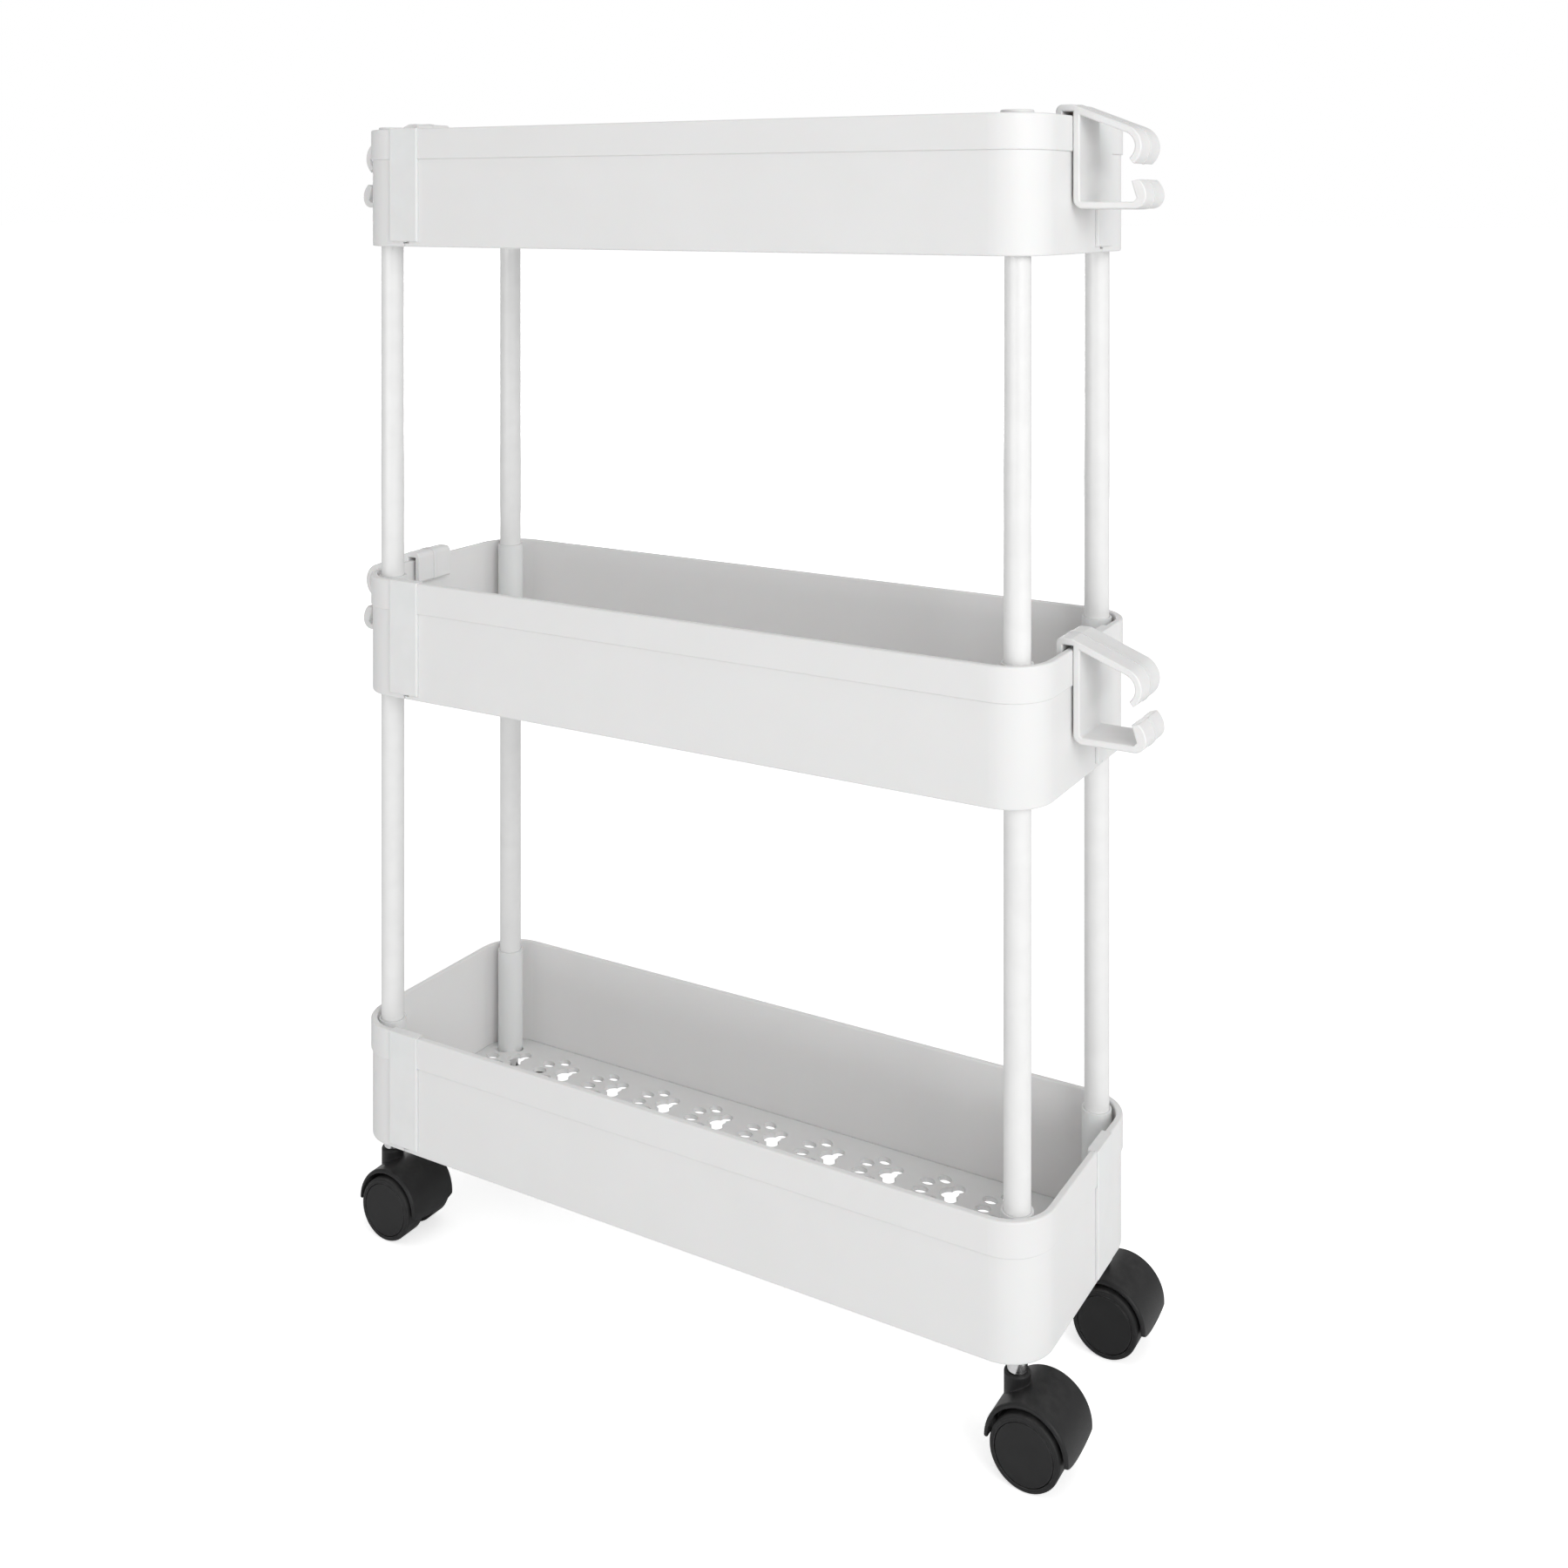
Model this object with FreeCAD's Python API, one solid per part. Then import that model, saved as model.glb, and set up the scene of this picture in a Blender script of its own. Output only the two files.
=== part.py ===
import FreeCAD
import Part
import math
import os

# Slim three-tier rolling cart.  Units are millimetres, +Z is up and Z = 0 is the floor.
# X runs along the length of the trays, the long front wall faces -Y, and the origin lies on
# the floor under the middle of the cart.

V = FreeCAD.Vector
os.makedirs("parts", exist_ok=True)

# ---------------------------------------------------------------- driving dimensions
tray_length = 400.0           # over the rim bands
tray_depth = 132.0            # over the rim bands
tray_height = 63.5            # bottom edge to rim top
tray_corner_radius = 23.0     # of the rim's outer outline
tier_count = 3
tier_pitch = 244.0            # rim top to rim top
bottom_tray_height = 49.6     # floor to the bottom edge of the lowest tray

wall_thickness = 2.4
rim_band_height = 16.4
rim_proud = 0.9               # how far the rim band stands out from the wall
rim_rounding = 0.9
rim_inner_rounding = 0.55
rim_foot_rounding = 0.55      # where the rim band's lower edge meets the wall
wall_foot_rounding = 0.9
ledge_width = 3.0             # inward ledge at the foot of the wall, which carries the floor
ledge_thickness = 1.6
ledge_notch_clearance = 0.25  # around a stem socket's flange or a post, in the ledge's corners
floor_thickness = 2.5
floor_edge_clearance = 0.25
floor_rib_height = 1.2
floor_rib_width = 1.6
floor_rib_end_gap = 1.0       # rib ends to the ledge

tube_diameter = 12.4
tube_wall = 0.9
tube_fit = 0.06               # radial clearance of a tube in its sleeve
sleeve_wall = 1.1
sleeve_wall_gap = 4.34        # sleeve to the wall's inner face, at the side and at the end
sleeve_below_rim = 1.0        # sleeve top to rim top
sleeve_stop_height = 24.0     # underside of the stop inside a sleeve, over the tray's bottom
sleeve_stop_thickness = 3.0
sleeve_stop_bore = 7.0

cap_rise = 1.6                # cap top over the rim top
cap_overhang = 0.2
cap_plug_length = 14.0
cap_plug_wall = 1.6
cap_rounding = 0.7

clip_width = 19.3             # joint clip, along the wall
clip_front_offset = 26.8      # rim's end face to the near edge of the front clip
clip_side_offset = 36.6       # rim's back face to the near edge of the side clip
clip_proud = 0.8
clip_rounding = 0.65
clip_bridge_thickness = 1.2
clip_bridge_rise = 0.4        # bridge top over the rim top
clip_foot_gap = 2.9           # clip foot over the tray's bottom edge
clip_tab_drop = 6.0           # how far the tab reaches down inside
clip_tab_thickness = 1.2
clip_tooth_width = 2.6
clip_tooth_offset = 1.0       # tooth from the clip's middle, away from the corner
clip_tooth_root = 0.6         # how far the tooth reaches into the clip's outer band
clip_tooth_depth = 1.2        # how far the tooth reaches into the wall
clip_tooth_low = 2.5          # over the tray's bottom edge
clip_slot_width = 3.9
clip_slot_low = 1.8           # over the tray's bottom edge
clip_slot_high = 3.4
clip_slot_depth = 1.45
clip_tooth_clearance = 0.15   # tooth to the top of its slot
panel_gap = 0.4               # between the ends of the two wall panels
clip_clearance = 0.05

paw_columns = 11
paw_rows = 3
paw_pitch_x = 35.2            # pad centre to pad centre along the tray
paw_pitch_y = 40.2
paw_shift_x = 5.0             # of the pads, so that pads and toes sit evenly between the ends
paw_pad_front = 5.0           # radius of a pad's front, towards the toes
paw_pad_front_out = 0.7
paw_pad_lobe = 3.5            # radius of the two lobes behind it
paw_pad_lobe_out = 5.0        # lobe centre from the print's middle line
paw_pad_lobe_back = 2.1
paw_toe_half_width = 3.1
paw_toe_half_length = 4.1
paw_inner_toe = (4.3, 15.2)   # toe centre: off the middle line, ahead of the pad's centre
paw_outer_toe = (10.2, 7.9)
paw_toe_splay = 0.5           # how far a toe leans towards the line from the pad, 0 to 1

hook_width = 27.0
hook_clip_gap = 5.2           # hook to the side joint clip, along the wall
hook_thickness = 3.2
hook_plate_height = 42.6      # rim top to the hook's lowest face
hook_reach = 34.6             # rim face to the outermost point of the lower tip
hook_arm_angle = 21.0         # the upper arm's fall, degrees
hook_curl_radius = 6.7        # inside the curl
hook_curl_end = -52.0         # where the curl stops, degrees from +X
hook_curl_centre_x = 22.6     # from the rim face
hook_curl_centre_z = -14.4    # from the rim top
hook_tip_height = 13.2        # lowest face to the top of the lower tip
hook_tip_lean = 17.0          # the tip's inner face leans towards the cart, degrees
hook_tip_slant = 0.8          # the tip's end is lower on its inner side by this much
hook_tip_radius = 9.6         # outer face of the lower tip
hook_knee_radius = 5.8        # outside, between the lowest face and the lower tip
hook_bend_radius = 4.6        # outside, between the plate and the lowest face
hook_top_radius = 3.2         # outside, between the lip and the bridge
hook_rim_gap = 1.9            # rim top to the clip's underside
hook_seat_width = 8.0         # pad under the bridge, which rests on the rim
hook_seat_gap = 0.05
hook_face_gap = 0.15          # hook plate to the rim band
hook_lip_gap = 1.7            # rim's inner face to the lip
hook_lip_drop = 12.0
hook_lip_slant = 0.9          # slanted corner at the lip's foot
least_inner_bend = 0.4
hook_edge_chamfer = 0.5
hook_bead_width = 2.6
hook_bead_height = 0.35

wheel_radius = 16.5
wheel_half_track = 17.2       # caster middle to a wheel's outer face
wheel_width = 12.9
wheel_rounding = 1.3
wheel_rim_thickness = 2.4
wheel_recess = 7.5            # hollow on the wheel's inner side
wheel_hub_radius = 5.0
hub_cap_radius = 13.7
hub_cap_thickness = 1.6
hub_cap_gap = 0.25
hub_cap_spigot = 3.0
caster_trail = 10.0           # stem axis to axle axis
axle_radius = 2.5
axle_fit = 0.05
axle_end_gap = 0.4
hood_radius = 19.8
hood_wall = 1.8
hood_half_width = 15.8
hood_rounding = 1.5
hood_nose_radius = 1.0        # rolled leading edge
hood_nose_out = 0.05          # how far it stands out beyond the shell
hood_nose_half = 15.2
hood_nose_rounding = 0.8
hood_centre_rise = 0.7        # hood axis over the axle axis
hood_skirt_rise = 0.4         # the leading edge over the hood's own axis
hood_tail_rise = -0.9         # the trailing edge over that axis, at its two ends
hood_tail_sag = 3.5           # and how much lower it hangs in the middle
hood_web_half = 3.9
hood_boss_radius = 6.0
hood_socket_radius = 6.0
hood_socket_top = 41.0
hood_socket_rounding = 1.0
stem_pin_radius = 3.0
stem_pin_foot = 24.5
stem_fit = 0.05
stem_collar_radius = 4.65
stem_collar_gap = 0.2
stem_root_radius = 3.9
stem_root_length = 18.0
socket_flange_overhang = 0.54  # flange beyond the sleeve's outside
socket_flange_thickness = 1.5
socket_length = 21.0

# ---------------------------------------------------------------- derived places
rim_x = tray_length / 2
rim_y = tray_depth / 2
wall_x = rim_x - rim_proud
wall_y = rim_y - rim_proud
wall_corner = tray_corner_radius - rim_proud
inner_x = wall_x - wall_thickness
inner_y = wall_y - wall_thickness
inner_corner = wall_corner - wall_thickness
tube_radius = tube_diameter / 2
sleeve_bore = tube_radius + tube_fit
sleeve_radius = sleeve_bore + sleeve_wall
post_x = inner_x - sleeve_wall_gap - sleeve_radius
post_y = inner_y - sleeve_wall_gap - sleeve_radius
socket_flange_radius = sleeve_radius + socket_flange_overhang
sleeve_top = tray_height - sleeve_below_rim
floor_low = ledge_thickness
floor_top = floor_low + floor_thickness
stop_low = sleeve_stop_height
stop_top = sleeve_stop_height + sleeve_stop_thickness
tray_bottoms = [bottom_tray_height + k * tier_pitch for k in range(tier_count)]
tier_names = ["bottom", "middle", "top"]
corner_names = {(-1, -1): "front_left", (1, -1): "front_right",
                (-1, 1): "back_left", (1, 1): "back_right"}
clip_front_x = -(rim_x - clip_front_offset - clip_width / 2)
clip_side_y = rim_y - clip_side_offset - clip_width / 2
hook_centre_y = clip_side_y - clip_width / 2 - hook_clip_gap - hook_width / 2


# ---------------------------------------------------------------- small builders
def save(name, shape):
    """Write one sub-part to its own STEP file."""
    shape.exportStep("parts/%s.step" % name)


def box(x0, x1, y0, y1, z0, z1):
    return Part.makeBox(x1 - x0, y1 - y0, z1 - z0, V(x0, y0, z0))


def rod(radius, z0, z1, x=0.0, y=0.0):
    return Part.makeCylinder(radius, z1 - z0, V(x, y, z0))


def cross_rod(radius, y0, y1, x, z):
    """A cylinder whose axis runs along Y."""
    return Part.makeCylinder(radius, y1 - y0, V(x, y0, z), V(0, 1, 0))


def rounded_block(half_x, half_y, radius, z0, z1):
    """A block with a rounded-rectangle plan."""
    block = box(-half_x, half_x, -half_y, half_y, z0, z1)
    upright = [e for e in block.Edges if abs(e.BoundBox.ZLength - (z1 - z0)) < 1e-6]
    return block.makeFillet(radius, upright)


def edges_at(shape, z, tolerance=1e-4):
    """The edges that lie flat at height z."""
    return [e for e in shape.Edges
            if abs(e.BoundBox.ZMin - z) < tolerance and abs(e.BoundBox.ZMax - z) < tolerance]


def moved(shape, x=0.0, y=0.0, z=0.0):
    copy = shape.copy()
    copy.translate(V(x, y, z))
    return copy


def turned(shape, degrees, axis=V(0, 0, 1), centre=V(0, 0, 0)):
    copy = shape.copy()
    copy.rotate(centre, axis, degrees)
    return copy


def face_from(points):
    """A flat face through points; a point given as (via, end) makes an arc through via."""
    edges = []
    here = points[0]
    for step in points[1:]:
        if isinstance(step, tuple):
            edges.append(Part.Arc(here, step[0], step[1]).toShape())
            here = step[1]
        else:
            edges.append(Part.makeLine(here, step))
            here = step
    if (here - points[0]).Length > 1e-6:
        edges.append(Part.makeLine(here, points[0]))
    return Part.Face(Part.Wire(edges))


# ---------------------------------------------------------------- tray walls
def wall_ring():
    """The whole wall of a tray in one piece, its bottom edge at Z = 0."""
    band_low = tray_height - rim_band_height
    lower = rounded_block(wall_x, wall_y, wall_corner, 0, tray_height - rim_rounding)
    lower = lower.makeFillet(wall_foot_rounding, edges_at(lower, 0))
    band = rounded_block(rim_x, rim_y, tray_corner_radius, band_low, tray_height)
    band = band.makeFillet(rim_rounding, edges_at(band, tray_height))
    band = band.makeFillet(rim_foot_rounding, edges_at(band, band_low))
    hollow = rounded_block(inner_x, inner_y, inner_corner, ledge_thickness, tray_height + 1)
    mouth = rounded_block(inner_x - ledge_width, inner_y - ledge_width,
                          inner_corner - ledge_width, -1, ledge_thickness + 1)
    ring = lower.fuse(band).removeSplitter().cut(hollow).cut(mouth)
    for sx, sy in corner_names:
        ring = ring.cut(rod(socket_flange_radius + ledge_notch_clearance, -1,
                            ledge_thickness + 1, sx * post_x, sy * post_y))
    inner_rim = [e for e in edges_at(ring, tray_height)
                 if e.BoundBox.XMax < rim_x and e.BoundBox.XMin > -rim_x]
    return ring.makeFillet(rim_inner_rounding, inner_rim)


def clip_places():
    """Each joint clip: name, turn about Z, distance of the rim face, place, tooth side."""
    return [("front", 0.0, rim_y, clip_front_x, 1.0),
            ("side", 90.0, rim_x, clip_side_y, -1.0)]


def clip_notch(face, place, tooth_side):
    """What a front-facing clip takes out of the wall: a rim notch and a slot at the foot."""
    half = clip_width / 2 + clip_clearance
    seat_top = tray_height + clip_bridge_rise - clip_bridge_thickness - clip_clearance
    rim = box(place - half, place + half, -face - 1, -face + rim_proud + wall_thickness + 1,
              seat_top, tray_height + 1)
    slot_x = place + tooth_side * clip_tooth_offset
    slot = box(slot_x - clip_slot_width / 2, slot_x + clip_slot_width / 2,
               -face - 1, -face + rim_proud + clip_slot_depth, clip_slot_low, clip_slot_high)
    return rim.fuse(slot)


def joint_clip(face, place, tooth_side):
    """A front-facing clip over the seam: outer band, bridge over the rim, inner tab, tooth."""
    half = clip_width / 2
    band_low = tray_height - rim_band_height
    top = tray_height + clip_bridge_rise
    front = -face - clip_proud
    inner_face = -face + rim_proud + wall_thickness
    outline = box(place - half, place + half, front, inner_face + clip_tab_thickness
                  + clip_clearance, clip_foot_gap, top)
    rounded = [e for e in outline.Edges
               if abs(e.BoundBox.YMin - front) < 1e-6 and abs(e.BoundBox.YMax - front) < 1e-6]
    outline = outline.makeFillet(clip_rounding, rounded)
    wall_room = box(place - half - 1, place + half + 1, -face + rim_proud - clip_clearance,
                    inner_face + clip_clearance, -1, top - clip_bridge_thickness)
    rim_room = box(place - half - 1, place + half + 1, -face - clip_clearance,
                   inner_face + clip_clearance, band_low - clip_clearance,
                   top - clip_bridge_thickness)
    below_tab = box(place - half - 1, place + half + 1, -face + rim_proud,
                    inner_face + clip_tab_thickness + 2, -1, top - clip_tab_drop)
    body = outline.cut(wall_room).cut(rim_room).cut(below_tab)
    tooth_x = place + tooth_side * clip_tooth_offset
    tooth = box(tooth_x - clip_tooth_width / 2, tooth_x + clip_tooth_width / 2,
                -face + rim_proud - clip_clearance - clip_tooth_root,
                -face + rim_proud + clip_tooth_depth,
                clip_tooth_low, clip_slot_high - clip_tooth_clearance)
    return body.fuse(tooth).removeSplitter()


def wall_panels():
    """Front panel (front wall, right corner, half the right wall) and the back panel."""
    ring = wall_ring()
    for name, turn, face, place, tooth_side in clip_places():
        ring = ring.cut(turned(clip_notch(face, place, tooth_side), turn))
    reach = tray_length
    seam_x = clip_front_x
    seam_y = clip_side_y
    cell = box(seam_x + panel_gap / 2, reach, -reach, seam_y - panel_gap / 2, -5, reach)
    gap_cell = box(seam_x - panel_gap / 2, reach, -reach, seam_y + panel_gap / 2, -5, reach)
    return ring.common(cell), ring.cut(gap_cell)


# ---------------------------------------------------------------- tray floor
def paw_print():
    """The drain holes of one print, its pad at the origin and its toes towards -X."""
    low = floor_low - 1
    high = floor_top + 1
    pad = rod(paw_pad_front, low, high, -paw_pad_front_out, 0)
    for side in (-1, 1):
        lobe = rod(paw_pad_lobe, low, high, paw_pad_lobe_back, side * paw_pad_lobe_out)
        pad = pad.fuse(lobe)
    holes = [pad.removeSplitter()]
    rim = Part.Ellipse(V(0, 0, low), paw_toe_half_length, paw_toe_half_width).toShape()
    toe = Part.Face(Part.Wire([rim])).extrude(V(0, 0, high - low))
    for off, ahead in (paw_inner_toe, paw_outer_toe):
        for side in (-1, 1):
            splay = -side * math.degrees(math.atan2(off, ahead)) * paw_toe_splay
            holes.append(moved(turned(toe, splay), -ahead, side * off))
    return Part.makeCompound(holes)


def paw_places():
    """The places of the pads on the floor."""
    spots = []
    for row in range(paw_rows):
        for column in range(paw_columns):
            x = (column - (paw_columns - 1) / 2) * paw_pitch_x + paw_shift_x
            y = (row - (paw_rows - 1) / 2) * paw_pitch_y
            spots.append((x, y))
    return spots


def tray_floor():
    """Floor plate with drain holes, underside ribs and four corner sleeves, one moulding."""
    plate = rounded_block(inner_x - floor_edge_clearance, inner_y - floor_edge_clearance,
                          inner_corner - floor_edge_clearance, floor_low, floor_top)
    rib_end = inner_x - ledge_width - floor_rib_end_gap
    for side in (-1, 1):
        y = side * paw_pitch_y / 2
        plate = plate.fuse(box(-rib_end, rib_end, y - floor_rib_width / 2,
                               y + floor_rib_width / 2, floor_low - floor_rib_height,
                               floor_low + 0.5))
    print_holes = paw_print()
    plate = plate.cut(Part.makeCompound([moved(print_holes, x, y) for x, y in paw_places()]))
    for sx, sy in corner_names:
        sleeve = rod(sleeve_radius, floor_low, sleeve_top, sx * post_x, sy * post_y)
        plate = plate.fuse(sleeve)
    for sx, sy in corner_names:
        x = sx * post_x
        y = sy * post_y
        plate = plate.cut(rod(sleeve_bore, -1, stop_low, x, y))
        plate = plate.cut(rod(sleeve_bore, stop_top, sleeve_top + 1, x, y))
        plate = plate.cut(rod(sleeve_stop_bore / 2, stop_low - 1, stop_top + 1, x, y))
    return plate.removeSplitter()


# ---------------------------------------------------------------- posts, caps and sockets
def post_tube(lower_tray, upper_tray, sx, sy):
    """A tube from the stop in one tray's sleeve up to the stop in the next tray's sleeve."""
    z0 = lower_tray + stop_top
    z1 = upper_tray + stop_low
    x = sx * post_x
    y = sy * post_y
    return rod(tube_radius, z0, z1, x, y).cut(rod(tube_radius - tube_wall, z0 - 1, z1 + 1, x, y))


def post_cap(sx, sy):
    """The plug that closes a sleeve of the top tray."""
    x = sx * post_x
    y = sy * post_y
    seat = tray_bottoms[-1] + sleeve_top
    top = tray_bottoms[-1] + tray_height + cap_rise
    disc = rod(sleeve_radius + cap_overhang, seat, top, x, y)
    disc = disc.makeFillet(cap_rounding, edges_at(disc, top))
    plug = rod(tube_radius, seat - cap_plug_length, seat, x, y)
    core = rod(tube_radius - cap_plug_wall, seat - cap_plug_length - 1, seat - 1, x, y)
    return disc.fuse(plug).cut(core)


def stem_socket(sx, sy):
    """The flanged bush in the foot of a bottom-tray sleeve that grips a caster stem."""
    x = sx * post_x
    y = sy * post_y
    seat = tray_bottoms[0] + floor_low
    bush = rod(tube_radius, seat, tray_bottoms[0] + socket_length, x, y)
    flange = rod(socket_flange_radius, seat - socket_flange_thickness, seat, x, y)
    bore = rod(stem_root_radius + clip_clearance, 0, tray_bottoms[0] + socket_length + 1, x, y)
    return flange.fuse(bush).removeSplitter().cut(bore)


# ---------------------------------------------------------------- hooks
def hook_outline(grow=0.0):
    """Side outline of the right-hand middle hook, in the XZ plane, origin at the rim's top
    outer edge.  grow thickens the strip on its outer side, for the bead."""
    t = hook_thickness
    fall = math.radians(hook_arm_angle)
    lean = math.radians(hook_tip_lean)
    cx = hook_curl_centre_x
    cz = hook_curl_centre_z
    r_in = hook_curl_radius
    r_out = r_in + t + grow
    bottom = -hook_plate_height - grow
    gap = hook_face_gap
    back = -(rim_proud + wall_thickness) - hook_lip_gap
    plate_in = gap
    plate_out = gap + t

    def on_curl(radius, degrees):
        a = math.radians(degrees)
        return V(cx + radius * math.cos(a), 0, cz + radius * math.sin(a))

    def quarter(corner_x, corner_z, radius, along_x, along_z):
        """The middle of a quarter bend in the corner at (corner_x, corner_z)."""
        off = radius * (1 - math.sqrt(0.5))
        return V(corner_x + along_x * off, 0, corner_z + along_z * off)

    up = 90.0 - hook_arm_angle
    arm_low_start = on_curl(r_in, up)
    arm_high_start = on_curl(r_out, up)
    slope = math.tan(fall)
    corner_low = V(plate_out, 0, arm_low_start.z + (arm_low_start.x - plate_out) * slope)
    bridge_top = hook_rim_gap + t + grow
    bridge_end_x = arm_high_start.x - (bridge_top - arm_high_start.z) / slope
    bend_out = hook_bend_radius + grow
    bend_in = max(hook_bend_radius - t, least_inner_bend)
    top_bend = hook_top_radius + grow
    back_out = back - t - grow
    lip_foot = -hook_lip_drop
    tip_x = hook_reach + grow
    top_z = bottom + hook_tip_height + grow
    floor_in = -hook_plate_height + t
    knee = hook_knee_radius + grow
    knee_out = V(tip_x, 0, bottom + knee)
    knee_low = V(tip_x - knee, 0, bottom)

    def on_tip(z):
        """The tip's outer face at height z; it leaves the knee upright and curves inwards."""
        radius = hook_tip_radius + grow
        return V(tip_x - radius + math.sqrt(radius ** 2 - (z - knee_out.z) ** 2), 0, z)

    tip_out = on_tip(top_z)
    thick_x = (t + grow) / math.cos(lean)
    tip_in = V(tip_out.x - thick_x, 0, top_z - hook_tip_slant)
    knee_in = V(tip_in.x + (tip_in.z - floor_in - bend_in) * math.tan(lean), 0, floor_in + bend_in)
    knee_in_low = V(knee_in.x - bend_in, 0, floor_in)
    middle_curl = (up + hook_curl_end) / 2
    points = [
        V(plate_in, 0, bottom + bend_out),
        (quarter(plate_in, bottom, bend_out, 1, 1), V(plate_in + bend_out, 0, bottom)),
        knee_low,
        (quarter(tip_x, bottom, knee, -1, 1), knee_out),
        (on_tip((knee_out.z + top_z) / 2), tip_out),
        tip_in,
        knee_in,
        knee_in_low,
        V(plate_out + bend_in, 0, floor_in),
        (quarter(plate_out, floor_in, bend_in, 1, 1), V(plate_out, 0, floor_in + bend_in)),
        corner_low,
        arm_low_start,
        (on_curl(r_in, middle_curl), on_curl(r_in, hook_curl_end)),
        on_curl(r_out, hook_curl_end),
        (on_curl(r_out, middle_curl), arm_high_start),
        V(bridge_end_x, 0, bridge_top),
        V(back_out + top_bend, 0, bridge_top),
        (quarter(back_out, bridge_top, top_bend, 1, -1), V(back_out, 0, bridge_top - top_bend)),
        V(back_out, 0, lip_foot + hook_lip_slant),
        V(back_out + hook_lip_slant, 0, lip_foot),
        V(back, 0, lip_foot),
        V(back, 0, hook_rim_gap),
        V(plate_in, 0, hook_rim_gap),
    ]
    return face_from(points)


def hook(tray_bottom, side):
    """A clip-on hook on the left (-1) or right (+1) end of a tray."""
    low_y = hook_centre_y - hook_width / 2
    strip = moved(hook_outline(), y=low_y).extrude(V(0, hook_width, 0))
    long_edges = [e for e in strip.Edges
                  if e.BoundBox.YLength < 1e-6 and e.BoundBox.DiagonalLength > hook_bend_radius]
    strip = strip.makeChamfer(hook_edge_chamfer, long_edges)
    bead_y = hook_centre_y - hook_bead_width / 2
    bead = moved(hook_outline(hook_bead_height), y=bead_y).extrude(V(0, hook_bead_width, 0))
    bend_end = hook_face_gap + hook_bend_radius + hook_bead_height
    bead = bead.cut(box(-1, bend_end, bead_y - 1, bead_y + hook_bead_width + 1,
                        -hook_plate_height - 1, -hook_lip_drop))
    seat = box(-(rim_proud + wall_thickness), hook_face_gap + hook_thickness / 2,
               hook_centre_y - hook_seat_width / 2, hook_centre_y + hook_seat_width / 2,
               hook_seat_gap, hook_rim_gap + hook_thickness / 2)
    shape = strip.fuse(bead).fuse(seat).removeSplitter()
    shape = moved(shape, x=rim_x, z=tray_bottom + tray_height)
    if side < 0:
        shape = shape.mirror(V(0, 0, 0), V(1, 0, 0))
    return shape


# ---------------------------------------------------------------- casters
def caster_stem():
    """Steel stem: pin in the hood, bright collar, and root pressed into the stem socket."""
    seat = tray_bottoms[0] + floor_low - socket_flange_thickness
    collar_low = hood_socket_top + stem_collar_gap
    pin = rod(stem_pin_radius, stem_pin_foot, collar_low)
    collar = rod(stem_collar_radius, collar_low, seat)
    root = rod(stem_root_radius, seat, seat + stem_root_length)
    root = root.makeChamfer(0.6, edges_at(root, seat + stem_root_length))
    return pin.fuse(collar).fuse(root).removeSplitter()


def caster_hood():
    """Hood over both wheels, with the stem socket, the middle web and the axle boss."""
    cx = caster_trail
    cz = wheel_radius + hood_centre_rise
    skirt = cz + hood_skirt_rise
    shell = cross_rod(hood_radius, -hood_half_width, hood_half_width, cx, cz)
    shell = shell.makeFillet(hood_rounding, [e for e in shell.Edges
                                             if e.BoundBox.YLength < 1e-6])
    socket = rod(hood_socket_radius, cz, hood_socket_top)
    socket = socket.makeFillet(hood_socket_rounding, edges_at(socket, hood_socket_top))
    shell = shell.fuse(socket)
    inside = cross_rod(hood_radius - hood_wall, -hood_half_width - 1, hood_half_width + 1, cx, cz)
    shell = shell.cut(inside)
    reach = 3 * hood_radius
    shell = shell.cut(box(-reach, cx, -reach, reach, -reach, skirt))
    sag_radius = (hood_half_width ** 2 + hood_tail_sag ** 2) / (2 * hood_tail_sag)
    sag_centre = cz + hood_tail_rise - hood_tail_sag + sag_radius
    below_tail = box(cx, reach, -reach, reach, -reach, cz)
    below_tail = below_tail.cut(Part.makeCylinder(sag_radius, 2 * reach,
                                                  V(0, 0, sag_centre), V(1, 0, 0)))
    shell = shell.cut(below_tail)
    nose = cross_rod(hood_nose_radius, -hood_nose_half, hood_nose_half,
                     cx - hood_radius - hood_nose_out + hood_nose_radius, skirt)
    nose = nose.makeFillet(hood_nose_rounding, [e for e in nose.Edges
                                                if e.BoundBox.YLength < 1e-6])
    shell = shell.fuse(nose)
    web = cross_rod(hood_radius - hood_wall / 2, -hood_web_half, hood_web_half, cx, cz)
    web = web.cut(box(-reach, reach, -reach, reach, -reach, skirt))
    boss = cross_rod(hood_boss_radius, -hood_web_half, hood_web_half, cx, wheel_radius)
    hood = shell.fuse(web).fuse(boss)
    hood = hood.cut(rod(stem_pin_radius + stem_fit, stem_pin_foot - 0.5, hood_socket_top + 1))
    axle_hole = cross_rod(axle_radius, -hood_web_half - 1, hood_web_half + 1, cx, wheel_radius)
    return hood.cut(axle_hole).removeSplitter()


def axle_pin():
    end = wheel_half_track - hub_cap_thickness - hub_cap_spigot - axle_end_gap
    return cross_rod(axle_radius, -end, end, caster_trail, wheel_radius)


def revolved(profile):
    """A solid turned about the axle; profile points are (distance from the middle, radius)."""
    points = [V(caster_trail, y, wheel_radius + r) for y, r in profile]
    face = face_from(points)
    return face.revolve(V(caster_trail, 0, wheel_radius), V(0, 1, 0), 360)


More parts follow.
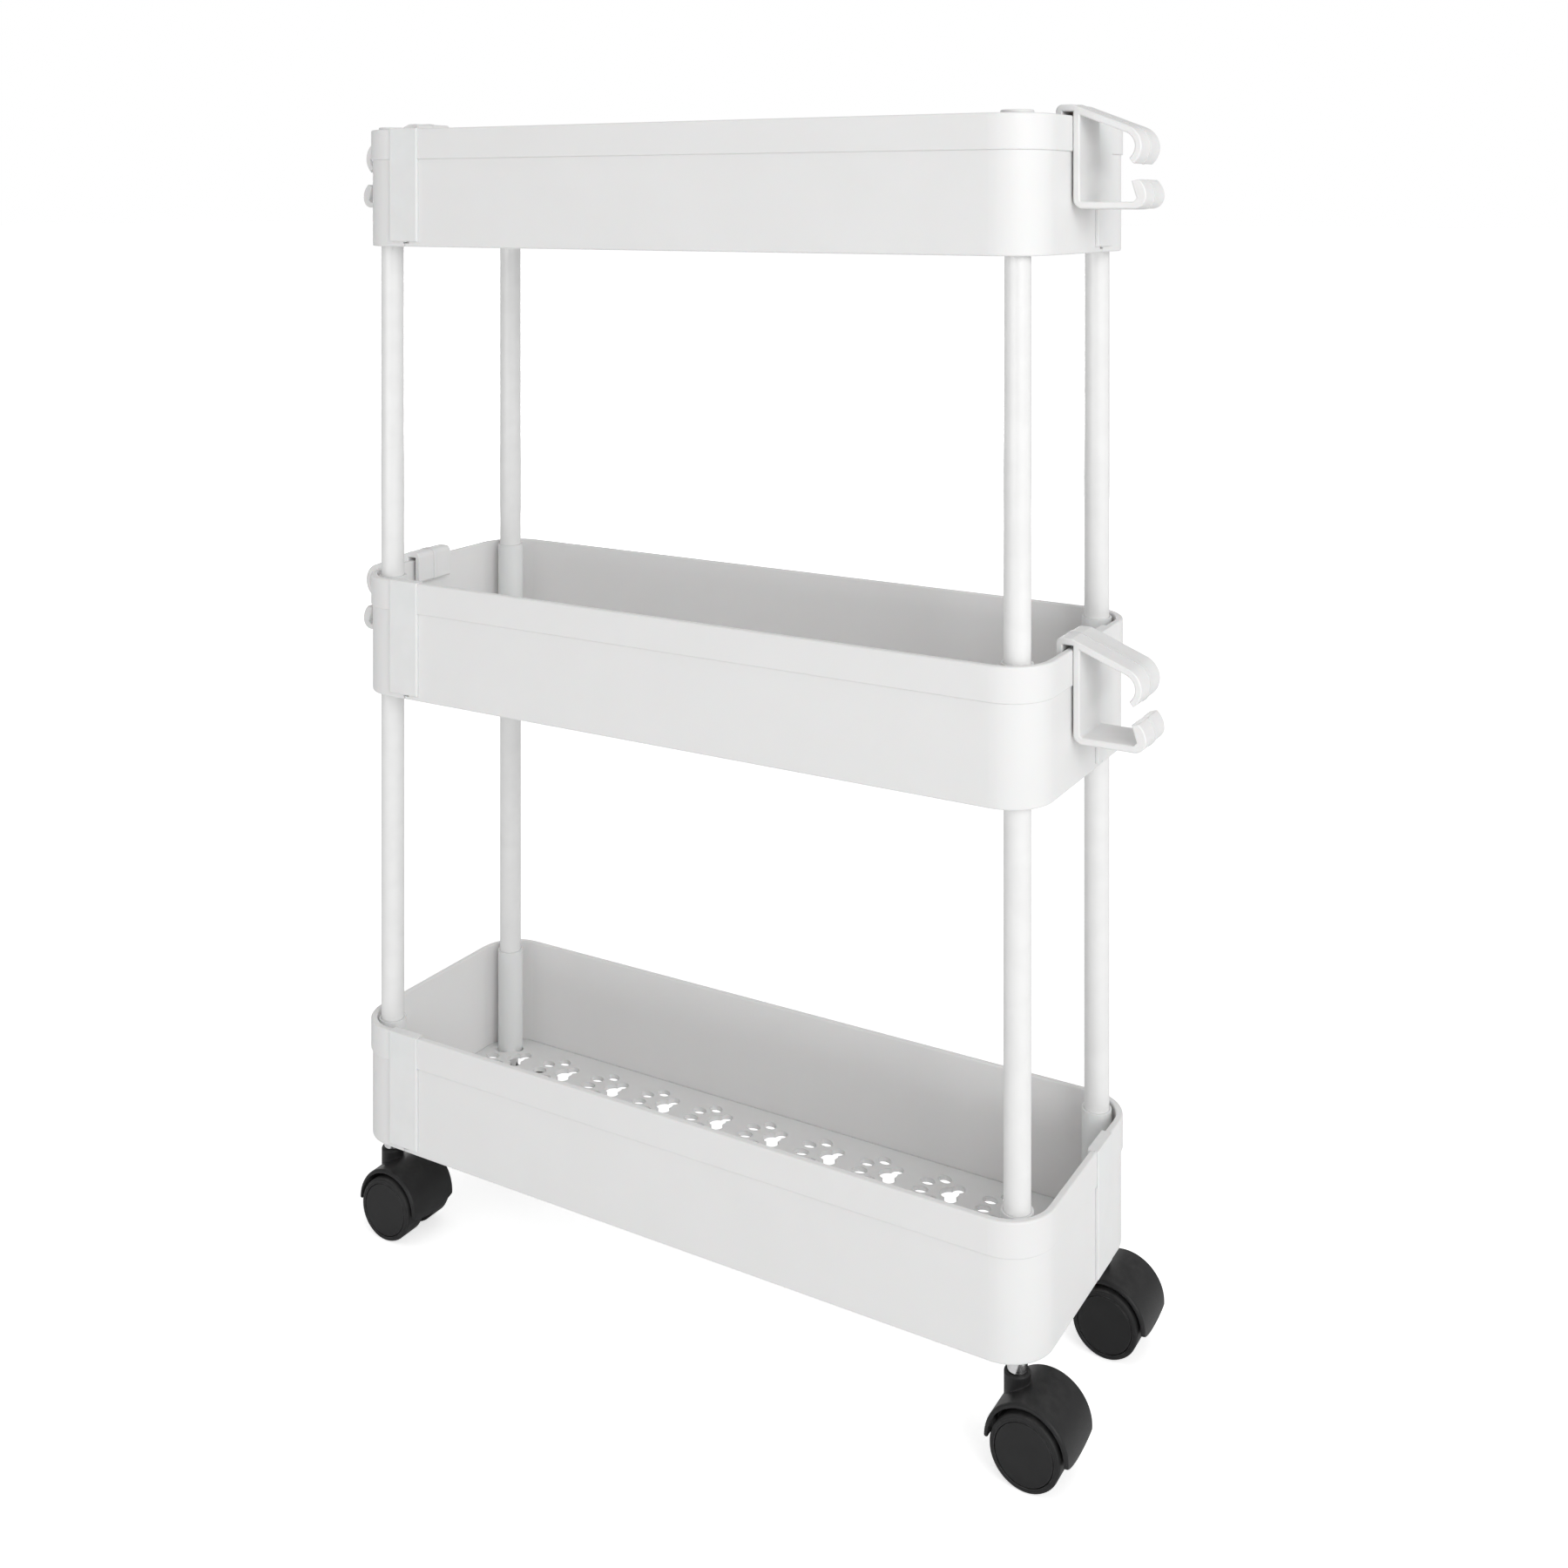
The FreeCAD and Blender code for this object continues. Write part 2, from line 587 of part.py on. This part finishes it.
def wheel():
    """The wheel on the +Y side: tread ring, web and hub, hollow on its inner side."""
    outer = wheel_half_track
    inner = wheel_half_track - wheel_width
    tread_in = wheel_radius - wheel_rim_thickness
    bore = axle_radius + axle_fit
    edge = wheel_rounding * 0.45
    profile = [(inner, bore), (inner, wheel_hub_radius), (inner + wheel_recess, wheel_hub_radius),
               (inner + wheel_recess, tread_in), (inner, tread_in),
               (inner, wheel_radius - edge), (inner + edge, wheel_radius),
               (outer - wheel_rounding, wheel_radius),
               (outer - wheel_rounding * 0.35, wheel_radius - wheel_rounding * 0.3),
               (outer, wheel_radius - wheel_rounding),
               (outer, hub_cap_radius + hub_cap_gap),
               (outer - hub_cap_thickness, hub_cap_radius + hub_cap_gap),
               (outer - hub_cap_thickness, bore)]
    return revolved(profile)


def hub_cap():
    """The disc that closes the wheel's outer face, with a short spigot in the bore."""
    outer = wheel_half_track
    back = outer - hub_cap_thickness
    bevel = 0.35
    profile = [(back - hub_cap_spigot, 0), (back - hub_cap_spigot, axle_radius), (back, axle_radius),
               (back, hub_cap_radius), (outer - bevel, hub_cap_radius),
               (outer, hub_cap_radius - bevel), (outer, 0)]
    return revolved(profile)


# ---------------------------------------------------------------- the cart
def build():
    front_panel, back_panel = wall_panels()
    floor = tray_floor()
    for name, z in zip(tier_names, tray_bottoms):
        save("%s_tray_floor" % name, moved(floor, z=z))
        save("%s_tray_front_panel" % name, moved(front_panel, z=z))
        save("%s_tray_back_panel" % name, moved(back_panel, z=z))
        for where, turn, face, place, tooth_side in clip_places():
            clip = turned(joint_clip(face, place, tooth_side), turn)
            save("%s_tray_%s_joint_clip" % (name, where), moved(clip, z=z))

    for k, level in enumerate(("lower", "upper")):
        for (sx, sy), corner in corner_names.items():
            tube = post_tube(tray_bottoms[k], tray_bottoms[k + 1], sx, sy)
            save("%s_post_%s" % (level, corner), tube)

    save("post_caps", Part.makeCompound([post_cap(sx, sy) for sx, sy in corner_names]))
    save("stem_sockets", Part.makeCompound([stem_socket(sx, sy) for sx, sy in corner_names]))

    for name, z in zip(tier_names[1:], tray_bottoms[1:]):
        save("%s_left_hook" % name, hook(z, -1))
        save("%s_right_hook" % name, hook(z, 1))

    stem = caster_stem()
    hood = caster_hood()
    axle = axle_pin()
    wheels = {"outer": wheel(), "inner": wheel().mirror(V(0, 0, 0), V(0, 1, 0))}
    caps = {"outer": hub_cap(), "inner": hub_cap().mirror(V(0, 0, 0), V(0, 1, 0))}
    for (sx, sy), corner in corner_names.items():
        x = sx * post_x
        y = sy * post_y
        save("caster_stem_%s" % corner, moved(stem, x, y))
        save("caster_hood_%s" % corner, moved(hood, x, y))
        save("caster_axle_%s" % corner, moved(axle, x, y))
        for which, hand in (("a", "inner"), ("b", "outer")):
            save("wheel_%s_%s" % (corner, which), moved(wheels[hand], x, y))
            save("hub_cap_%s_%s" % (corner, which), moved(caps[hand], x, y))


build()
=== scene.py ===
import math

import bpy
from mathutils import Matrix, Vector

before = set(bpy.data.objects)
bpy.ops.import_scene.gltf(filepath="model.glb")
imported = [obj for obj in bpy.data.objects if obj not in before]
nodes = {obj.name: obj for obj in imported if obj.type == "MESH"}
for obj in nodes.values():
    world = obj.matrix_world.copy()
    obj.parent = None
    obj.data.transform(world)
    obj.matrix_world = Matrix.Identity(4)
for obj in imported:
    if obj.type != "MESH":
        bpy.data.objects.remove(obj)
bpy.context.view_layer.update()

# Where the noise textures' values mostly lie, for tone drift and for fine roughness.
slow_low, slow_high = 0.3, 0.7
fine_low, fine_high = 0.25, 0.75

# Colours of dust and of rubbed edges.
dust_on_white = (0.62, 0.60, 0.57)
dust_on_posts = (0.60, 0.58, 0.55)
dust_on_black = (0.32, 0.31, 0.30)
rubbed_black = (0.16, 0.16, 0.165)


# ---------------------------------------------------------------- node helpers
def link(tree, source, target):
    tree.links.new(source, target)


def add(tree, kind, place, **settings):
    """A node of this kind; settings are node properties, or input values by socket name."""
    node = tree.nodes.new(kind)
    node.location = place
    for key, value in settings.items():
        name = key.replace("_", " ")
        if hasattr(node, key):
            setattr(node, key, value)
        else:
            node.inputs[name].default_value = value
    return node


def maths(tree, operation, place, a, b=None, clamp=False):
    """A Math node; a and b are sockets or numbers."""
    node = tree.nodes.new("ShaderNodeMath")
    node.operation = operation
    node.use_clamp = clamp
    node.location = place
    for index, value in enumerate((a, b)):
        if value is None:
            continue
        if isinstance(value, (int, float)):
            node.inputs[index].default_value = value
        else:
            link(tree, value, node.inputs[index])
    return node.outputs[0]


def remap(tree, place, value, low, high, to_low, to_high):
    """A smooth Map Range from low..high to to_low..to_high."""
    node = tree.nodes.new("ShaderNodeMapRange")
    node.interpolation_type = "SMOOTHSTEP"
    node.location = place
    link(tree, value, node.inputs["Value"])
    node.inputs["From Min"].default_value = low
    node.inputs["From Max"].default_value = high
    node.inputs["To Min"].default_value = to_low
    node.inputs["To Max"].default_value = to_high
    return node.outputs["Result"]


def mix_colours(tree, place, factor, first, second):
    """A colour Mix node; factor, first and second are sockets, numbers or colours."""
    node = tree.nodes.new("ShaderNodeMix")
    node.data_type = "RGBA"
    node.location = place
    for place_in, value in ((0, factor), (6, first), (7, second)):
        socket = node.inputs[place_in]
        if isinstance(value, (tuple, float, int)):
            socket.default_value = value if place_in == 0 else (*value, 1.0)
        else:
            link(tree, value, socket)
    return node.outputs[2]


def new_group(name, inputs, outputs):
    """An empty shader node group with these named sockets and its two end nodes."""
    tree = bpy.data.node_groups.new(name, "ShaderNodeTree")
    for socket, value in inputs:
        made = tree.interface.new_socket(name=socket, in_out="INPUT", socket_type="NodeSocketFloat")
        made.default_value = value
    for socket, kind in outputs:
        tree.interface.new_socket(name=socket, in_out="OUTPUT", socket_type=kind)
    start = tree.nodes.new("NodeGroupInput")
    start.location = (-900, 0)
    end = tree.nodes.new("NodeGroupOutput")
    end.location = (700, 0)
    return tree, start.outputs, end.inputs


def place_group(tree, group, place, **values):
    """A shared effect placed in a material, with its own values by socket name."""
    node = tree.nodes.new("ShaderNodeGroup")
    node.node_tree = group
    node.location = place
    for key, value in values.items():
        node.inputs[key.replace("_", " ").capitalize()].default_value = value
    return node


# ---------------------------------------------------------------- shared effects
def moulded_grain_group():
    """Spark-eroded mould grain with slow waviness: height, a fine mask and a slow mask."""
    tree, given, put = new_group(
        "Moulded grain",
        (("Grain size", 0.0006), ("Wave size", 0.03), ("Wave share", 0.6)),
        (("Height", "NodeSocketFloat"), ("Fine", "NodeSocketFloat"), ("Slow", "NodeSocketFloat")))
    where = add(tree, "ShaderNodeTexCoord", (-900, 300)).outputs["Object"]
    fine_scale = maths(tree, "DIVIDE", (-700, 150), 1.0, given["Grain size"])
    slow_scale = maths(tree, "DIVIDE", (-700, -50), 1.0, given["Wave size"])
    fine = add(tree, "ShaderNodeTexNoise", (-450, 200), Detail=3.0, Roughness=0.6)
    slow = add(tree, "ShaderNodeTexNoise", (-450, -100), Detail=2.0, Roughness=0.45)
    for texture, scale in ((fine, fine_scale), (slow, slow_scale)):
        link(tree, where, texture.inputs["Vector"])
        link(tree, scale, texture.inputs["Scale"])
    wave = maths(tree, "MULTIPLY", (-100, -100), slow.outputs["Fac"], given["Wave share"])
    link(tree, maths(tree, "ADD", (150, 100), fine.outputs["Fac"], wave), put["Height"])
    link(tree, fine.outputs["Fac"], put["Fine"])
    link(tree, slow.outputs["Fac"], put["Slow"])
    return tree


def worn_edges_group():
    """A mask of the outer edges, broken up by noise, from how far a rounded normal turns."""
    tree, given, put = new_group(
        "Worn edges", (("Edge width", 0.0012), ("Patch size", 0.004), ("Amount", 1.0)),
        (("Mask", "NodeSocketFloat"),))
    rounded = add(tree, "ShaderNodeBevel", (-600, 200), samples=4)
    link(tree, given["Edge width"], rounded.inputs["Radius"])
    plain = add(tree, "ShaderNodeNewGeometry", (-600, 0))
    turn = tree.nodes.new("ShaderNodeVectorMath")
    turn.operation = "DOT_PRODUCT"
    turn.location = (-400, 100)
    link(tree, rounded.outputs[0], turn.inputs[0])
    link(tree, plain.outputs["Normal"], turn.inputs[1])
    edge = remap(tree, (-200, 100), turn.outputs["Value"], 0.995, 0.86, 0.0, 1.0)
    where = add(tree, "ShaderNodeTexCoord", (-900, -300)).outputs["Object"]
    patches = add(tree, "ShaderNodeTexNoise", (-400, -250), Detail=4.0, Roughness=0.65)
    link(tree, where, patches.inputs["Vector"])
    patch_scale = maths(tree, "DIVIDE", (-650, -250), 1.0, given["Patch size"])
    link(tree, patch_scale, patches.inputs["Scale"])
    broken = remap(tree, (-200, -200), patches.outputs["Fac"], 0.38, 0.68, 0.0, 1.0)
    mask = maths(tree, "MULTIPLY", (50, 0), edge, broken)
    link(tree, maths(tree, "MULTIPLY", (300, 0), mask, given["Amount"], True), put["Mask"])
    return tree


def settled_dust_group():
    """A thin uneven film on faces that look up and in the corners that a cloth misses."""
    tree, given, put = new_group(
        "Settled dust", (("Patch size", 0.012), ("Amount", 1.0), ("Corner reach", 0.004)),
        (("Mask", "NodeSocketFloat"),))
    facing = add(tree, "ShaderNodeNewGeometry", (-900, 250))
    split = add(tree, "ShaderNodeSeparateXYZ", (-700, 250))
    link(tree, facing.outputs["Normal"], split.inputs[0])
    upward = remap(tree, (-500, 250), split.outputs["Z"], 0.55, 0.98, 0.0, 1.0)
    closed = add(tree, "ShaderNodeAmbientOcclusion", (-700, 0), samples=4)
    link(tree, given["Corner reach"], closed.inputs["Distance"])
    corner = remap(tree, (-500, 0), closed.outputs["AO"], 0.75, 0.35, 0.0, 1.0)
    where = add(tree, "ShaderNodeTexCoord", (-900, -300)).outputs["Object"]
    patches = add(tree, "ShaderNodeTexNoise", (-500, -300), Detail=5.0, Roughness=0.6)
    link(tree, where, patches.inputs["Vector"])
    patch_scale = maths(tree, "DIVIDE", (-700, -300), 1.0, given["Patch size"])
    link(tree, patch_scale, patches.inputs["Scale"])
    uneven = remap(tree, (-250, -300), patches.outputs["Fac"], 0.3, 0.75, 0.15, 1.0)
    either = maths(tree, "MAXIMUM", (-250, 100), upward, corner)
    film = maths(tree, "MULTIPLY", (0, 0), either, uneven)
    link(tree, maths(tree, "MULTIPLY", (250, 0), film, given["Amount"], True), put["Mask"])
    return tree


def rub_marks_group():
    """Fine straight rubs in two crossing directions, as a thin mask."""
    tree, given, put = new_group(
        "Rub marks", (("Mark size", 0.02), ("Amount", 1.0)), (("Mask", "NodeSocketFloat"),))
    where = add(tree, "ShaderNodeTexCoord", (-900, 200)).outputs["Object"]
    scale = maths(tree, "DIVIDE", (-900, -100), 1.0, given["Mark size"])
    masks = []
    for row, (turn, stretch) in enumerate(((0.5, (1.0, 22.0, 2.0)), (-0.9, (20.0, 1.0, 2.5)))):
        mapping = add(tree, "ShaderNodeMapping", (-650, 250 - 350 * row))
        mapping.inputs["Rotation"].default_value = (turn, 0.4 * turn, turn)
        mapping.inputs["Scale"].default_value = stretch
        link(tree, where, mapping.inputs["Vector"])
        streaks = add(tree, "ShaderNodeTexNoise", (-400, 250 - 350 * row), Detail=2.0)
        link(tree, mapping.outputs[0], streaks.inputs["Vector"])
        link(tree, scale, streaks.inputs["Scale"])
        masks.append(remap(tree, (-150, 250 - 350 * row), streaks.outputs["Fac"],
                           0.66, 0.78, 0.0, 1.0))
    both = maths(tree, "MAXIMUM", (100, 0), masks[0], masks[1])
    link(tree, maths(tree, "MULTIPLY", (300, 0), both, given["Amount"], True), put["Mask"])
    return tree


grain_group = moulded_grain_group()
wear_group = worn_edges_group()
dust_group = settled_dust_group()
rub_group = rub_marks_group()


# ---------------------------------------------------------------- finishes
def start_material(name, **sockets):
    """A material with its Principled shader; sockets are fixed values by socket name."""
    material = bpy.data.materials.new(name)
    material.use_nodes = True
    tree = material.node_tree
    shader = tree.nodes["Principled BSDF"]
    shader.location = (600, 0)
    for key, value in sockets.items():
        shader.inputs[key.replace("_", " ")].default_value = value
    return material, tree, shader


def finish_surface(tree, shader, grain, rounding, depth, distance):
    """Rounded edges and the grain's bump go to the shader's normal."""
    rounded = add(tree, "ShaderNodeBevel", (-150, -500), samples=6, Radius=rounding)
    bump = add(tree, "ShaderNodeBump", (100, -500), Strength=depth, Distance=distance)
    link(tree, rounded.outputs[0], bump.inputs["Normal"])
    link(tree, grain, bump.inputs["Height"])
    link(tree, bump.outputs[0], shader.inputs["Normal"])


def white_plastic(name, base, shade, rough_low, rough_high, rounding, **grain_sizes):
    """Clean white moulding: slow tone drift, satin grain, faint dust and rubbed edges."""
    material, tree, shader = start_material(
        name, IOR=1.49, Specular_IOR_Level=0.45, Subsurface_Weight=0.06, Subsurface_Scale=0.004)
    grain = place_group(tree, grain_group, (-700, 200), **grain_sizes)
    wear = place_group(tree, wear_group, (-700, -100), Edge_width=0.0009, Patch_size=0.006,
                       Amount=0.5)
    dust = place_group(tree, dust_group, (-700, -350), Amount=0.3)
    rubs = place_group(tree, rub_group, (-700, -600), Mark_size=0.025, Amount=0.5)
    drift = remap(tree, (-450, 300), grain.outputs["Slow"], slow_low, slow_high, 0.0, 1.0)
    colour = mix_colours(tree, (-200, 300), drift, base, shade)
    worn = maths(tree, "MULTIPLY", (-200, 50), wear.outputs["Mask"], 0.35)
    rubbed = tuple(min(1.0, 1.05 * tone) for tone in base)
    colour = mix_colours(tree, (0, 250), worn, colour, rubbed)
    film = maths(tree, "MULTIPLY", (-200, -150), dust.outputs["Mask"], 0.25)
    colour = mix_colours(tree, (200, 200), film, colour, dust_on_white)
    link(tree, colour, shader.inputs["Base Color"])
    rough = remap(tree, (-200, -350), grain.outputs["Fine"], fine_low, fine_high,
                  rough_low, rough_high)
    rough = maths(tree, "ADD", (0, -250), rough,
                  maths(tree, "MULTIPLY", (-200, -550), rubs.outputs["Mask"], 0.08))
    rough = maths(tree, "ADD", (200, -250), rough,
                  maths(tree, "MULTIPLY", (0, -450), dust.outputs["Mask"], 0.2), True)
    link(tree, rough, shader.inputs["Roughness"])
    finish_surface(tree, shader, grain.outputs["Height"], rounding, 0.18, 0.0001)
    return material


def coated_steel():
    """White coat on steel tube: slight orange peel, a clear gloss and rubs along the tube."""
    material, tree, shader = start_material(
        "White coated steel", IOR=1.5, Coat_Roughness=0.12, Coat_IOR=1.5)
    grain = place_group(tree, grain_group, (-700, 200), Grain_size=0.0016, Wave_size=0.012,
                        Wave_share=0.5)
    dust = place_group(tree, dust_group, (-700, -100), Amount=0.4)
    rubs = place_group(tree, rub_group, (-700, -350), Mark_size=0.03, Amount=0.6)
    drift = remap(tree, (-450, 300), grain.outputs["Slow"], slow_low, slow_high, 0.0, 1.0)
    colour = mix_colours(tree, (-200, 300), drift, (0.86, 0.86, 0.855), (0.83, 0.83, 0.825))
    film = maths(tree, "MULTIPLY", (-200, -50), dust.outputs["Mask"], 0.3)
    colour = mix_colours(tree, (100, 250), film, colour, dust_on_posts)
    link(tree, colour, shader.inputs["Base Color"])
    rough = remap(tree, (-200, -200), grain.outputs["Fine"], fine_low, fine_high, 0.30, 0.38)
    rough = maths(tree, "ADD", (100, -150), rough,
                  maths(tree, "MULTIPLY", (-200, -400), rubs.outputs["Mask"], 0.12), True)
    link(tree, rough, shader.inputs["Roughness"])
    gloss = remap(tree, (100, -350), rubs.outputs["Mask"], 0.0, 1.0, 0.35, 0.2)
    link(tree, gloss, shader.inputs["Coat Weight"])
    finish_surface(tree, shader, grain.outputs["Height"], 0.0003, 0.22, 0.00012)
    return material


def black_plastic(name, tone, rough_low, rough_high, rounding, dust_amount, wear_amount):
    """Black satin moulding with fine grain, grey dust and edges rubbed paler."""
    material, tree, shader = start_material(name, IOR=1.46, Specular_IOR_Level=0.34)
    grain = place_group(tree, grain_group, (-700, 200), Grain_size=0.0004, Wave_size=0.008,
                        Wave_share=0.4)
    wear = place_group(tree, wear_group, (-700, -100), Edge_width=0.0007, Patch_size=0.003,
                       Amount=wear_amount)
    dust = place_group(tree, dust_group, (-700, -350), Patch_size=0.005, Amount=dust_amount,
                       Corner_reach=0.003)
    rubs = place_group(tree, rub_group, (-700, -600), Mark_size=0.012, Amount=0.8)
    drift = remap(tree, (-450, 300), grain.outputs["Slow"], slow_low, slow_high, 0.0, 1.0)
    deep = (tone, tone, tone * 1.04)
    pale = tuple(1.15 * c for c in deep)
    colour = mix_colours(tree, (-200, 300), drift, deep, pale)
    worn = maths(tree, "MULTIPLY", (-200, 50), wear.outputs["Mask"], 0.4)
    colour = mix_colours(tree, (0, 250), worn, colour, rubbed_black)
    film = maths(tree, "MULTIPLY", (-200, -150), dust.outputs["Mask"], 0.12)
    colour = mix_colours(tree, (200, 200), film, colour, dust_on_black)
    link(tree, colour, shader.inputs["Base Color"])
    rough = remap(tree, (-200, -350), grain.outputs["Fine"], fine_low, fine_high,
                  rough_low, rough_high)
    rough = maths(tree, "ADD", (0, -250), rough,
                  maths(tree, "MULTIPLY", (-200, -550), rubs.outputs["Mask"], 0.1))
    rough = maths(tree, "ADD", (200, -250), rough,
                  maths(tree, "MULTIPLY", (0, -450), dust.outputs["Mask"], 0.18), True)
    link(tree, rough, shader.inputs["Roughness"])
    finish_surface(tree, shader, grain.outputs["Height"], rounding, 0.3, 0.00008)
    return material


def turned_metal(name, tone, rough_low, rough_high, along):
    """Turned metal: rings across the turning axis, with a light tarnish."""
    material, tree, shader = start_material(name, Metallic=1.0)
    where = add(tree, "ShaderNodeTexCoord", (-900, 100)).outputs["Object"]
    mapping = add(tree, "ShaderNodeMapping", (-700, 100))
    ring_scale = 2600.0
    cross_scale = 30.0
    mapping.inputs["Scale"].default_value = tuple(
        ring_scale if axis == along else cross_scale for axis in "XYZ")
    link(tree, where, mapping.inputs["Vector"])
    rings = add(tree, "ShaderNodeTexNoise", (-500, 100), Scale=1.0, Detail=2.0)
    link(tree, mapping.outputs[0], rings.inputs["Vector"])
    grain = place_group(tree, grain_group, (-700, -200), Grain_size=0.0008, Wave_size=0.004)
    tarnish = remap(tree, (-450, -150), grain.outputs["Slow"], 0.4, 0.8, 0.0, 0.6)
    colour = mix_colours(tree, (-200, 200), tarnish, (tone, tone, tone * 1.01),
                         (0.72 * tone, 0.70 * tone, 0.68 * tone))
    link(tree, colour, shader.inputs["Base Color"])
    rough = remap(tree, (-200, -100), rings.outputs["Fac"], 0.3, 0.7, rough_low, rough_high)
    link(tree, rough, shader.inputs["Roughness"])
    finish_surface(tree, shader, rings.outputs["Fac"], 0.0004, 0.15, 0.00005)
    return material


tray_white = white_plastic("White tray plastic", (0.832, 0.832, 0.829), (0.824, 0.824, 0.820),
                           0.40, 0.50, 0.0006, Grain_size=0.0007, Wave_size=0.035)
clip_white = white_plastic("White clip plastic", (0.84, 0.84, 0.838), (0.82, 0.82, 0.817),
                           0.38, 0.46, 0.0003, Grain_size=0.0005, Wave_size=0.012)
hook_white = white_plastic("White hook plastic", (0.85, 0.85, 0.848), (0.83, 0.83, 0.827),
                           0.30, 0.40, 0.0005, Grain_size=0.0005, Wave_size=0.012)
post_white = coated_steel()
hood_black = black_plastic("Black hood plastic", 0.014, 0.38, 0.48, 0.0006, 0.5, 0.8)
wheel_black = black_plastic("Black wheel plastic", 0.012, 0.44, 0.56, 0.0004, 1.0, 1.0)
cap_black = black_plastic("Black hub cap plastic", 0.013, 0.40, 0.50, 0.0003, 0.6, 0.6)
stem_steel = turned_metal("Bright plated steel", 0.82, 0.08, 0.18, "Z")
axle_steel = turned_metal("Plain axle steel", 0.55, 0.25, 0.4, "Y")


def finish_for(name):
    """The finish of a CAD node, by its name."""
    if name.endswith("joint_clip") or name in ("post_caps", "stem_sockets"):
        return clip_white
    if name.endswith("hook"):
        return hook_white
    if "_post_" in name:
        return post_white
    for start, finish in (("caster_stem", stem_steel), ("caster_hood", hood_black),
                          ("caster_axle", axle_steel), ("wheel_", wheel_black),
                          ("hub_cap", cap_black)):
        if name.startswith(start):
            return finish
    return tray_white


for node_name, node in nodes.items():
    node.data.materials.clear()
    node.data.materials.append(finish_for(node_name))


# ---------------------------------------------------------------- floor, light and camera
def studio_floor():
    """A wide matt floor; seen by the camera it is lifted to the surround's white."""
    camera_lift = 0.58
    reach = 40.0
    material, tree, shader = start_material("Pale studio floor", Roughness=0.9,
                                            Specular_IOR_Level=0.1)
    grain = place_group(tree, grain_group, (-700, 200), Grain_size=0.004, Wave_size=0.6)
    tone = remap(tree, (-450, 200), grain.outputs["Slow"], slow_low, slow_high, 0.0, 1.0)
    colour = mix_colours(tree, (-200, 200), tone, (0.93, 0.93, 0.93), (0.915, 0.915, 0.915))
    link(tree, colour, shader.inputs["Base Color"])
    lift = add(tree, "ShaderNodeEmission", (600, -400), Strength=camera_lift)
    dark = add(tree, "ShaderNodeEmission", (600, -550), Strength=0.0)
    path = add(tree, "ShaderNodeLightPath", (600, -100))
    seen = add(tree, "ShaderNodeMixShader", (800, -400))
    link(tree, path.outputs["Is Camera Ray"], seen.inputs[0])
    link(tree, dark.outputs[0], seen.inputs[1])
    link(tree, lift.outputs[0], seen.inputs[2])
    total = add(tree, "ShaderNodeAddShader", (1000, 0))
    link(tree, shader.outputs[0], total.inputs[0])
    link(tree, seen.outputs[0], total.inputs[1])
    link(tree, total.outputs[0], tree.nodes["Material Output"].inputs["Surface"])
    mesh = bpy.data.meshes.new("studio_floor")
    mesh.from_pydata([(-reach, -reach, 0), (reach, -reach, 0), (reach, reach, 0),
                      (-reach, reach, 0)], [], [(0, 1, 2, 3)])
    floor = bpy.data.objects.new("studio_floor", mesh)
    floor.data.materials.append(material)
    bpy.context.scene.collection.objects.link(floor)


def softbox(name, place, aim, width, height, power):
    """A soft rectangular light at place, turned towards aim; sizes in metres, power in watts."""
    light = bpy.data.lights.new(name, "AREA")
    light.shape = "RECTANGLE"
    light.size = width
    light.size_y = height
    light.energy = power
    holder = bpy.data.objects.new(name, light)
    holder.location = place
    holder.rotation_euler = (Vector(aim) - Vector(place)).to_track_quat("-Z", "Y").to_euler()
    bpy.context.scene.collection.objects.link(holder)


def studio_light():
    """A white surround, seen as plain white, and softboxes at the front, right, back and top.  The
    low ones light the outer walls and leave the insides of the trays in shade."""
    seen_white = 1.0
    cast_white = 0.50
    world = bpy.data.worlds.new("Studio surround")
    world.use_nodes = True
    tree = world.node_tree
    tree.nodes.clear()
    out = add(tree, "ShaderNodeOutputWorld", (400, 0))
    seen = add(tree, "ShaderNodeBackground", (0, 100), Strength=seen_white)
    cast = add(tree, "ShaderNodeBackground", (0, -100), Strength=cast_white)
    seen.inputs["Color"].default_value = (1.0, 1.0, 1.0, 1.0)
    cast.inputs["Color"].default_value = (1.0, 1.0, 1.0, 1.0)
    path = add(tree, "ShaderNodeLightPath", (-200, 300))
    blend = add(tree, "ShaderNodeMixShader", (200, 0))
    link(tree, path.outputs["Is Camera Ray"], blend.inputs[0])
    link(tree, cast.outputs[0], blend.inputs[1])
    link(tree, seen.outputs[0], blend.inputs[2])
    link(tree, blend.outputs[0], out.inputs["Surface"])
    bpy.context.scene.world = world
    middle = (0.0, 0.0, 0.35)
    softbox("Key softbox", (2.05, -1.25, 1.25), middle, 1.6, 1.6, 25.5)
    softbox("Right softbox", (2.3, 0.2, 1.2), middle, 1.0, 1.0, 5.0)
    softbox("Top softbox", (0.1, -0.2, 2.4), middle, 2.2, 1.6, 3.0)
    low_middle = (0.0, 0.0, 0.3)
    softbox("Low front softbox", (-0.3, -2.2, 0.3), low_middle, 1.8, 0.5, 7.0)
    softbox("Low back softbox", (-1.4, 1.9, 0.35), low_middle, 1.8, 0.5, 11.0)


def product_camera():
    """A level camera at the height of the top tray, with the view shifted down to the cart."""
    eye = (0.48697, -0.77919, 0.5608)
    turn = 30.112
    camera = bpy.data.cameras.new("Product camera")
    camera.sensor_width = 36.0
    camera.lens = 40.212
    camera.shift_y = -0.3701
    holder = bpy.data.objects.new("Product camera", camera)
    holder.location = eye
    holder.rotation_euler = (math.radians(90.0), 0.0, math.radians(turn))
    bpy.context.scene.collection.objects.link(holder)
    bpy.context.scene.camera = holder


studio_floor()
studio_light()
product_camera()
bpy.context.scene.view_settings.view_transform = "Standard"
